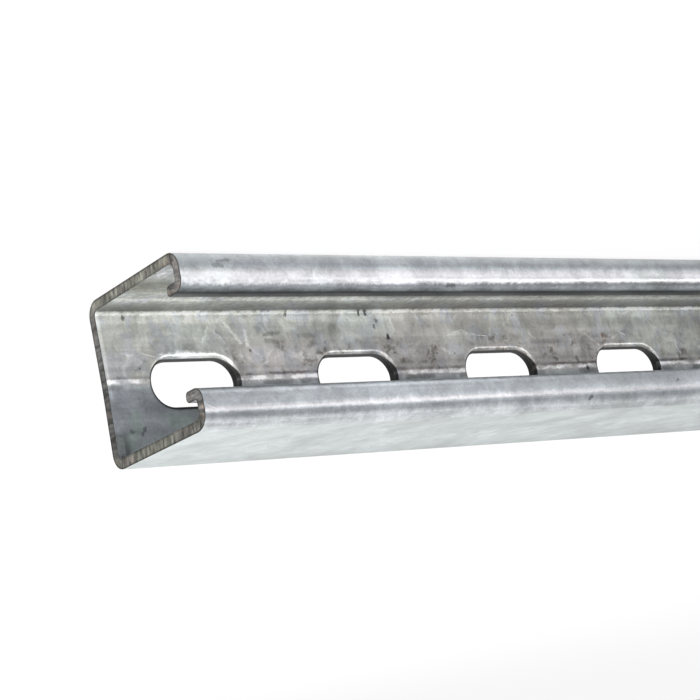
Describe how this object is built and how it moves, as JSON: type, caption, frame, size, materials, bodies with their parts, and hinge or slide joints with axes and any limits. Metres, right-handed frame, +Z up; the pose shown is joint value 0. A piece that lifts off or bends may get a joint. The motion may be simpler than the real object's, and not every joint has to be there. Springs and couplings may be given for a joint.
{
  "type": "slotted strut channel",
  "caption": "Galvanised steel C-section strut channel with in-turned lips and a row of round-ended slots along its web, cut square at both ends.",
  "frame": {"origin": "centre of the underside of the lower flange, halfway along the length", "axes": "+X along the length, towards the cut end nearer the viewer; -Y out of the mouth, +Y out of the web's back; +Z up, with the lower flange on the ground at Z = 0"},
  "size_m": [1, 0.0412, 0.0413],
  "materials": {
    "galvanised_steel": "dull spangled zinc, with bare brownish steel on the cut ends"
  },
  "bodies": {
    "root": {"strut_channel": "galvanised_steel"}
  },
  "joints": []
}
